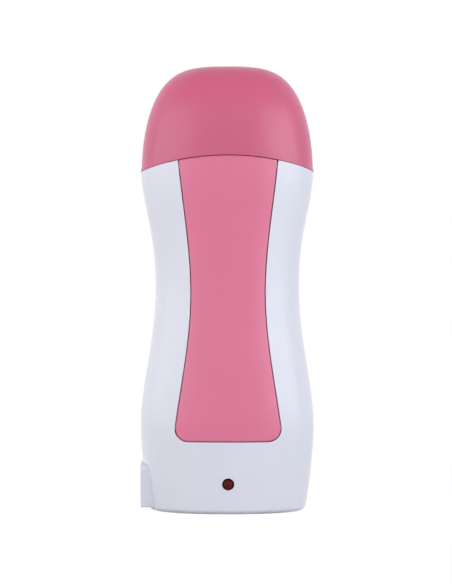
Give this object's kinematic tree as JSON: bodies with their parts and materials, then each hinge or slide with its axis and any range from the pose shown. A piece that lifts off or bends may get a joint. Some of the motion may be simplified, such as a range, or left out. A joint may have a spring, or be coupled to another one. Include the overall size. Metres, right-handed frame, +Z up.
{
  "type": "roll-on wax heater",
  "caption": "Hand-held heater with a waisted casing, a domed cap, a front panel, an indicator lamp and a two-pin inlet, holding a roll-on wax cartridge.",
  "frame": {"origin": "middle of the flat base, on the parting line of the two shells", "axes": "+Z up along the casing, -Y out of the front panel, +X to the right seen from the front; the inlet faces -X"},
  "size_m": [0.076, 0.0522, 0.194],
  "materials": {
    "casing_white": "glossy moulded",
    "panel_pink": "glossy moulded",
    "cap_pink": "glossy moulded",
    "inner_white": "matt moulded",
    "sleeve_aluminium": "drawn",
    "heater_ceramic": "sintered ceramic",
    "contact_brass": "nickel-flashed",
    "film_amber": "smooth film",
    "spring_steel": "rolled strip",
    "plated_steel": "zinc plated",
    "fuse_body": "coated",
    "glass_braid": "braided sleeving",
    "wire_brown": "smooth",
    "wire_blue": "smooth",
    "wire_grey": "smooth",
    "lamp_red": "clear tinted",
    "board_green": "solder mask",
    "resistor_tan": "lacquered",
    "diode_black": "moulded",
    "bottle_clear": "translucent moulded",
    "wax_honey": "set wax",
    "head_white": "moulded",
    "roller_white": "smooth moulded"
  },
  "bodies": {
    "casing": {"front_shell": "casing_white", "rear_shell": "casing_white", "front_panel": "panel_pink", "well_floor": "inner_white", "mouth_ring": "inner_white", "heating_sleeve": "sleeve_aluminium", "heater_element": "heater_ceramic", "heater_electrodes": "contact_brass", "heater_insulation": "film_amber", "heater_clamp": "spring_steel", "clamp_rivets": "sleeve_aluminium", "thermostat": "plated_steel", "thermal_fuse": "fuse_body", "fuse_sleeve": "glass_braid", "crimps": "plated_steel", "live_wire": "wire_brown", "neutral_wire": "wire_blue", "lamp_wires": "wire_grey", "lamp": "lamp_red", "lamp_board": "board_green", "lamp_resistor": "resistor_tan", "lamp_diode": "diode_black", "inlet_housing": "inner_white", "inlet_pins": "contact_brass", "case_screws": "plated_steel"},
    "cartridge": {"cartridge_bottle": "bottle_clear", "cartridge_wax": "wax_honey", "roller_head": "head_white"},
    "roller": {"roller": "roller_white"},
    "cap": {"cap": "cap_pink"}
  },
  "joints": [
    {"name": "cartridge_lift", "type": "slide", "parent": "casing", "child": "cartridge", "axis": [0, 0, 1], "range_m": [0, 0.115]},
    {"name": "cap_lift", "type": "slide", "parent": "cartridge", "child": "cap", "axis": [0, 0, 1], "range_m": [0, 0.06]},
    {"name": "roller_spin", "type": "hinge", "parent": "cartridge", "child": "roller", "pos_m": [0, -0.001, 0.173], "axis": [1, 0, 0], "continuous": true}
  ]
}
